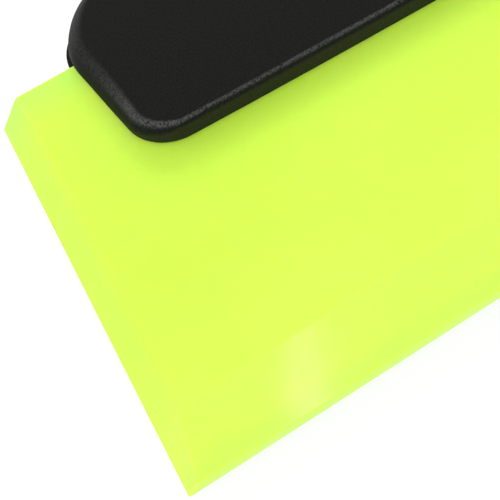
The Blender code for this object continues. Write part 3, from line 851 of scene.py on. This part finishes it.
def mark_wear_and_highlight(piece, settings, base, side, height, rim, sweep):
    """Store how smooth each point is, and its rubbing with the painted rim highlight.

    The climb up the rim's arc is 0 at the wall and 1 at the roof. The sheen of the wall fades on the
    way up. The rubbing is highest just below the roof, where its paler colour also paints the rim's
    highlight. It falls as exp(-(distance / reach)^2) from the nearest front corner, to a share of
    itself. Both fade from the front to the sides.
    """
    points = mesh_points(piece.data)
    setback = points[:, 1] - BLADE_REAR
    above = side * (points[:, 2] - base) - height(setback)
    climb = 1.0 + above / (rim(setback) * np.sin(sweep(setback)))
    # This band of rubbing on the arc is also the painted highlight
    worn_and_lit = smooth_step(climb, WEAR_HIGHLIGHT_START, WEAR_HIGHLIGHT_RISE) * (1.0 - smooth_step(climb, WEAR_HIGHLIGHT_END, WEAR_HIGHLIGHT_FALL))
    across = np.abs(points[:, 0]) - settings.jaw_length / 2
    away = np.hypot(across, setback - settings.lip_bow + LIP_REACH)
    near = np.exp(-(away / settings.wear_and_highlight_reach) ** 2)
    behind = smooth_step(setback, settings.lip_bow - LIP_REACH, settings.sheen_reach)
    fading = 1.0 - (1.0 - settings.side_sheen) * behind
    plain = settings.rim_wear_and_highlight * fading
    worn_and_lit *= plain + (1.0 - plain) * near
    sheen = (1.0 - smooth_step(climb, 0.0, SHEEN_FALL)) * fading
    store(piece.data, "rim_wear_and_highlight", "POINT", worn_and_lit)
    store(piece.data, "wall_sheen", "POINT", sheen)


def thread_wave(level, angle, pitch):
    """A zigzag along a helix: |2 part - 1|, where part is level / pitch - a / full turn, modulo 1."""
    return np.abs(2.0 * np.mod(level / pitch - angle / math.tau, 1.0) - 1.0)


def turned_piece(node, radius, angle, level, closed_rows=False):
    """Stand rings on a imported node's axis: the point at angle a is place + radius (cos a, sin a)."""
    place = node_middle(node)
    x = place[0] + radius * np.cos(angle)
    y = place[1] + radius * np.sin(angle)
    z = np.broadcast_to(level, radius.shape)
    faces = grid_faces(*radius.shape, closed_rows)
    return make_object(f"dressed_{node}", np.dstack((x, y, z)), faces)


def place_piece(piece, material, body, node):
    """Give a piece its finish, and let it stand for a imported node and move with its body."""
    piece.data.materials.clear()
    piece.data.materials.append(material)
    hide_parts(node)
    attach(piece, body)


def finish_shell(shell, settings, base, side, form, body, node):
    """Shade a shell of the handle, mark its rubbing and painted rim highlight, and give it its plastic.
    """
    soften(shell)
    mark_wear_and_highlight(shell, settings, base, side, *form)
    place_piece(shell, grained_plastic(settings), body, node)


class SQUEEGEE_OT_blade(Operator):
    """Make the polyurethane blade"""
    bl_idname = "squeegee.blade"
    bl_label = "Blade"

    def execute(self, context):
        settings = context.scene.squeegee.blade
        self.piece = self.plate(settings)
        self.round_edges(settings)
        place_piece(self.piece, polyurethane(settings), "blade", "blade")
        return {"FINISHED"}

    def plate(self, settings):
        """A five-sided profile carried from end to end.

        A point at a depth in front of the rear edge and a drop below the top face lies, at each end,
        rear length / 2 + flare depth / blade depth + lean drop / thickness from the middle.
        """
        bevel_start = BLADE_DEPTH - settings.front_bevel
        depth = np.array((0.0, bevel_start, BLADE_DEPTH, BLADE_DEPTH, 0.0))
        nose_top = BLADE_THICKNESS - settings.nose_height
        drop = np.array((0.0, 0.0, nose_top, BLADE_THICKNESS, BLADE_THICKNESS))
        reach = settings.rear_length / 2 + settings.end_flare * depth / BLADE_DEPTH
        reach += settings.end_bevel * drop / BLADE_THICKNESS
        side = np.array((-1.0, 1.0))[:, None]
        x = side * reach
        y = np.broadcast_to(BLADE_REAR - depth, x.shape)
        z = np.broadcast_to(BLADE_HIGH.z - drop, x.shape)
        faces = grid_faces(2, 5) + [(0, 1, 2, 3, 4), (5, 6, 7, 8, 9)]
        return make_object("dressed_blade", np.dstack((x, y, z)), faces)

    def round_edges(self, settings):
        """Round each edge by its own width: the ends most, then the corners, then the rest."""
        mesh = self.piece.data
        count = len(mesh.edges)
        ends = np.empty(count * 2, np.int32)
        mesh.edges.foreach_get("vertices", ends)
        pairs = mesh_points(mesh)[ends].reshape(-1, 2, 3)
        slack = 0.1 * BLADE_THICKNESS
        crosswise = np.abs(pairs[:, 0, 0] - pairs[:, 1, 0]) < BLADE_DEPTH
        on_top = pairs[:, :, 2].min(axis=1) > BLADE_HIGH.z - slack
        off_base = pairs[:, :, 2].mean(axis=1) > BLADE_LOW.z + slack
        front = pairs[:, :, 1].mean(axis=1) < BLADE_LOW.y + settings.front_bevel
        width = np.full(count, settings.edge_softness)
        width[crosswise & front & off_base] = settings.corner_softness
        width[crosswise & on_top] = settings.end_softness
        widest = max(settings.end_softness, settings.corner_softness, settings.edge_softness)
        store(mesh, "bevel_weight_edge", "EDGE", width / widest)
        bevel = self.piece.modifiers.new("soft edges", "BEVEL")
        bevel.limit_method = "WEIGHT"
        bevel.width = widest
        bevel.segments = EDGE_STEPS
        bevel.harden_normals = True
        mesh.shade_smooth()


class SQUEEGEE_OT_upper_shell(Operator):
    """Make the upper shell: the upper lip and the hollow palm grip"""
    bl_idname = "squeegee.upper_shell"
    bl_label = "Upper shell"

    def execute(self, context):
        settings = context.scene.squeegee.handle
        half = handle_half(settings, settings.shoulder_round)
        form = upper_height(settings), upper_rim(settings), upper_sweep(settings)
        shell = domed_body("dressed_upper_shell", half, UPPER_LOW.z, 1, *form)
        roof = BLADE_HIGH.z + settings.fit
        low = UPPER_LOW.z - OVERRUN
        cutters = [grip_hollow(settings, half), jaw_slot(settings)]
        cutters += lip_grooves(settings, roof - OVERRUN / 2, roof + settings.groove_depth)
        for node in INSERT_NODES:
            radius = node_radius(node) + settings.fit
            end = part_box(node)[1].z + SEAT_FITS * settings.fit
            cutters.append(bar("insert_seat", node_middle(node), radius, low, end))
        for place in peg_places(settings):
            radius = settings.peg_radius + settings.fit
            end = PEG_TOP + SEAT_FITS * settings.fit
            cutters.append(bar("peg_socket", place, radius, low, end))
        cut(shell, cutters)
        finish_shell(shell, settings, UPPER_LOW.z, 1, form, "upper_half", "upper_shell")
        return {"FINISHED"}


class SQUEEGEE_OT_lower_shell(Operator):
    """Make the lower shell: the flat base with the lower lip, pegs and screw holes"""
    bl_idname = "squeegee.lower_shell"
    bl_label = "Lower shell"

    def execute(self, context):
        settings = context.scene.squeegee.handle
        fasteners = context.scene.squeegee.fasteners
        face = UPPER_LOW.z - PARTING_FITS * settings.fit
        sizes = face - LOWER_LOW.z, settings.lip_rim, math.pi / 2
        form = [lambda setback, size=size: np.full_like(setback, size) for size in sizes]
        half = handle_half(settings, settings.base_shoulder_round)
        shell = domed_body("dressed_lower_shell", half, face, -1, *form)
        floor = BLADE_LOW.z - settings.fit
        cutters = [jaw_slot(settings)]
        cutters += lip_grooves(settings, floor - settings.groove_depth, floor + OVERRUN / 2)
        for node in SCREW_NODES:
            place = node_middle(node)
            head = node_radius(node) + SCREW_FITS * settings.fit
            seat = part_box(node)[0].z + fasteners.head_height + settings.fit
            shank = fasteners.shank_radius + SCREW_FITS * settings.fit
            cutters.append(bar("head_hole", place, head, LOWER_LOW.z - OVERRUN, seat))
            cutters.append(bar("screw_hole", place, shank, seat - settings.fit, face + OVERRUN))
        cut(shell, cutters)
        places = peg_places(settings)
        pegs = [bar("peg", place, settings.peg_radius, floor, PEG_TOP) for place in places]
        cut(shell, pegs, "UNION")
        finish_shell(shell, settings, face, -1, form, "lower_half", "lower_shell")
        return {"FINISHED"}


class SQUEEGEE_OT_screws(Operator):
    """Make the five cap screws"""
    bl_idname = "squeegee.screws"
    bl_label = "Screws"

    def execute(self, context):
        settings = context.scene.squeegee.fasteners
        steel = plated_steel(settings)
        for node in SCREW_NODES:
            screw = self.turned_screw(settings, node)
            soften(screw)
            place_piece(screw, steel, node, node)
        return {"FINISHED"}

    def turned_screw(self, settings, node):
        """A profile turned about the screw's axis, from the socket's floor over the head to the tip.

        In the socket the radius is that of a hexagon, flat / cos(a mod 60 degrees - 30 degrees). On the
        shank the radius swings with the turns of the thread, pitch apart, and one turn higher all round.
        """
        low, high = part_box(node)
        head_radius = node_radius(node)
        head_top = low.z + settings.head_height
        floor = low.z + settings.socket_depth
        flat = settings.socket_width / 2
        chamfer = settings.head_chamfer
        arc = np.linspace(0.0, math.pi / 2, EDGE_STEPS + 1)
        lead = 0.1 * MM
        socket = np.array([(0.0, floor), (flat, floor), (flat, low.z + lead), (flat + lead, low.z)])
        edge = np.column_stack((
            head_radius - chamfer * (1.0 - np.sin(arc)), low.z + chamfer * (1.0 - np.cos(arc)),
        ))
        under = np.array([(head_radius, head_top), (settings.shank_radius, head_top)])
        turns = (high.z - head_top) / settings.thread_pitch
        level = np.linspace(head_top + lead, high.z - lead, round(turns * THREAD_STEPS) + 1)
        shank = np.column_stack((np.full_like(level, settings.shank_radius), level))
        tip = np.array([(settings.shank_radius - settings.thread_depth, high.z), (0.0, high.z)])
        profile = np.concatenate((socket, edge, under, shank, tip))
        angle = angles_round(TURN_SIDES)
        radius = np.repeat(profile[:, :1], TURN_SIDES, axis=1)
        hexagon = 1.0 / np.cos(np.mod(angle, math.pi / 3) - math.pi / 6)
        radius[1:len(socket) - 1] *= hexagon
        radius[len(socket) - 1] = np.maximum(radius[len(socket) - 1], flat * hexagon)
        first = len(socket) + len(edge) + len(under)
        cut_in = smooth_step(level, head_top, 2 * settings.thread_pitch)[:, None]
        wave = thread_wave(level[:, None], angle, settings.thread_pitch)
        radius[first:first + len(level)] -= settings.thread_depth * wave * cut_in
        return turned_piece(node, radius, angle, profile[:, 1:])


class SQUEEGEE_OT_inserts(Operator):
    """Make the five threaded brass inserts"""
    bl_idname = "squeegee.inserts"
    bl_label = "Inserts"

    def execute(self, context):
        settings = context.scene.squeegee.fasteners
        brass = machined_brass(settings)
        for node in INSERT_NODES:
            insert = self.knurled_bush(settings, node)
            soften(insert)
            place_piece(insert, brass, "upper_half", node)
        return {"FINISHED"}

    def knurled_bush(self, settings, node):
        """A closed profile turned about the insert's axis: knurled outside, threaded inside.

        Outside, the radius falls by the waist's depth in the middle and swings with the knurl's teeth
        on the two bands. Inside, it swings with the turns of the thread.
        """
        low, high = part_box(node)
        middle = (low.z + high.z) / 2
        angle = angles_round(TURN_SIDES * 2)
        level = np.linspace(low.z, high.z, BUSH_LEVELS)[:, None]
        slope = settings.waist_width / 4
        band = smooth_step(np.abs(level - middle), slope, slope)
        teeth = 0.5 - 0.5 * np.cos(settings.knurl_teeth * angle)
        outside = node_radius(node) - settings.waist_depth * (1.0 - band)
        outside = outside - settings.knurl_depth * band * teeth
        wave = thread_wave(level, angle, settings.thread_pitch)
        inside = settings.bore_radius + 0.5 * settings.thread_depth * wave
        radius = np.concatenate((outside, inside[::-1]))
        both = np.concatenate((level, level[::-1]))
        return turned_piece(node, radius, angle, both, closed_rows=True)


class SQUEEGEE_OT_stage(Operator):
    """Set up the floor, the lamps and the camera"""
    bl_idname = "squeegee.stage"
    bl_label = "Stage"

    def execute(self, context):
        scene = context.scene
        settings = scene.squeegee.stage
        scene.view_settings.view_transform = "Standard"
        self.lay_floor(settings)
        self.light_sky(scene, settings)
        for box in SOFTBOXES:
            self.hang_softbox(scene, box)
        self.aim_camera(scene, settings)
        return {"FINISHED"}

    def lay_floor(self, settings):
        """A flat square under the tool."""
        half = settings.floor_size / 2
        corners = half * np.array([(-1, -1, 0), (1, -1, 0), (1, 1, 0), (-1, 1, 0)], float)
        floor = make_object("floor", corners, [(0, 1, 2, 3)])
        floor.data.materials.append(studio_floor(settings))

    def light_sky(self, scene, settings):
        """Soft light from all round, white where it is seen."""
        world = bpy.data.worlds.new("studio")
        world.use_nodes = True
        world.node_tree.nodes.clear()
        scene.world = world
        sky = Finish(world.node_tree)
        strength = settings.sky + (1.0 - settings.sky) * seen_ray(sky)
        light = sky.node("ShaderNodeBackground", None, {"Color": WHITE, "Strength": strength})
        sky.node("ShaderNodeOutputWorld", None, {"Surface": light})

    def hang_softbox(self, scene, box):
        """A lamp on a sphere round the tool, facing its middle."""
        light = bpy.data.lights.new(box.name, "AREA")
        light.shape = "RECTANGLE"
        light.size, light.size_y = box.width, box.height
        light.energy = box.power
        lamp = bpy.data.objects.new(box.name, light)
        scene.collection.objects.link(lamp)
        away = direction(math.radians(box.azimuth), math.radians(box.elevation))
        lamp.location = away * box.distance
        lamp.visible_glossy = box.mirrored
        facing = away.to_track_quat("Z", "Y").to_matrix()
        rolled = facing @ Matrix.Rotation(math.radians(box.roll), 3, "Z")
        lamp.rotation_euler = rolled.to_euler()

    def aim_camera(self, scene, settings):
        """A camera at the photograph's angle, turned about its line of sight."""
        data = bpy.data.cameras.new("camera")
        data.lens = settings.lens
        data.clip_start = settings.distance / 100
        camera = bpy.data.objects.new("camera", data)
        scene.collection.objects.link(camera)
        back = direction(settings.azimuth, settings.elevation)
        level = Vector((-back.y, back.x, 0.0)).normalized()
        rise = back.cross(level)
        right = math.cos(settings.roll) * level + math.sin(settings.roll) * rise
        turned = Matrix((right, back.cross(right), back)).transposed()
        place = Vector(settings.target) + back * settings.distance
        camera.matrix_world = Matrix.Translation(place) @ turned.to_4x4()
        scene.camera = camera


def direction(azimuth, elevation):
    """The way from the tool to a place round it; azimuth 0 is in front of the blade."""
    level = math.cos(elevation)
    return Vector((math.sin(azimuth) * level, -math.cos(azimuth) * level, math.sin(elevation)))


class SQUEEGEE_PT_panel(Panel):
    """Lists the pieces of the squeegee and their sizes"""
    bl_idname = "SQUEEGEE_PT_panel"
    bl_label = "Squeegee"
    bl_space_type = "VIEW_3D"
    bl_region_type = "UI"
    bl_category = "Squeegee"

    def draw(self, context):
        layout = self.layout
        for operator in OPERATORS:
            layout.operator(operator.bl_idname)
        settings = context.scene.squeegee
        for group in (settings.blade, settings.handle, settings.fasteners, settings.stage):
            column = layout.column(align=True)
            for name in group.__annotations__:
                column.prop(group, name)


OPERATORS = (
    SQUEEGEE_OT_stage,
    SQUEEGEE_OT_blade,
    SQUEEGEE_OT_upper_shell,
    SQUEEGEE_OT_lower_shell,
    SQUEEGEE_OT_screws,
    SQUEEGEE_OT_inserts,
)
CLASSES = (
    BladeSettings,
    HandleSettings,
    FastenerSettings,
    StageSettings,
    SqueegeeSettings,
    *OPERATORS,
    SQUEEGEE_PT_panel,
)


def register():
    for item in CLASSES:
        bpy.utils.register_class(item)
    bpy.types.Scene.squeegee = PointerProperty(type=SqueegeeSettings)


def unregister():
    del bpy.types.Scene.squeegee
    for item in reversed(CLASSES):
        bpy.utils.unregister_class(item)


def main():
    register()
    bpy.ops.squeegee.stage()
    bpy.ops.squeegee.blade()
    bpy.ops.squeegee.upper_shell()
    bpy.ops.squeegee.lower_shell()
    bpy.ops.squeegee.screws()
    bpy.ops.squeegee.inserts()


if __name__ == "__main__":
    main()
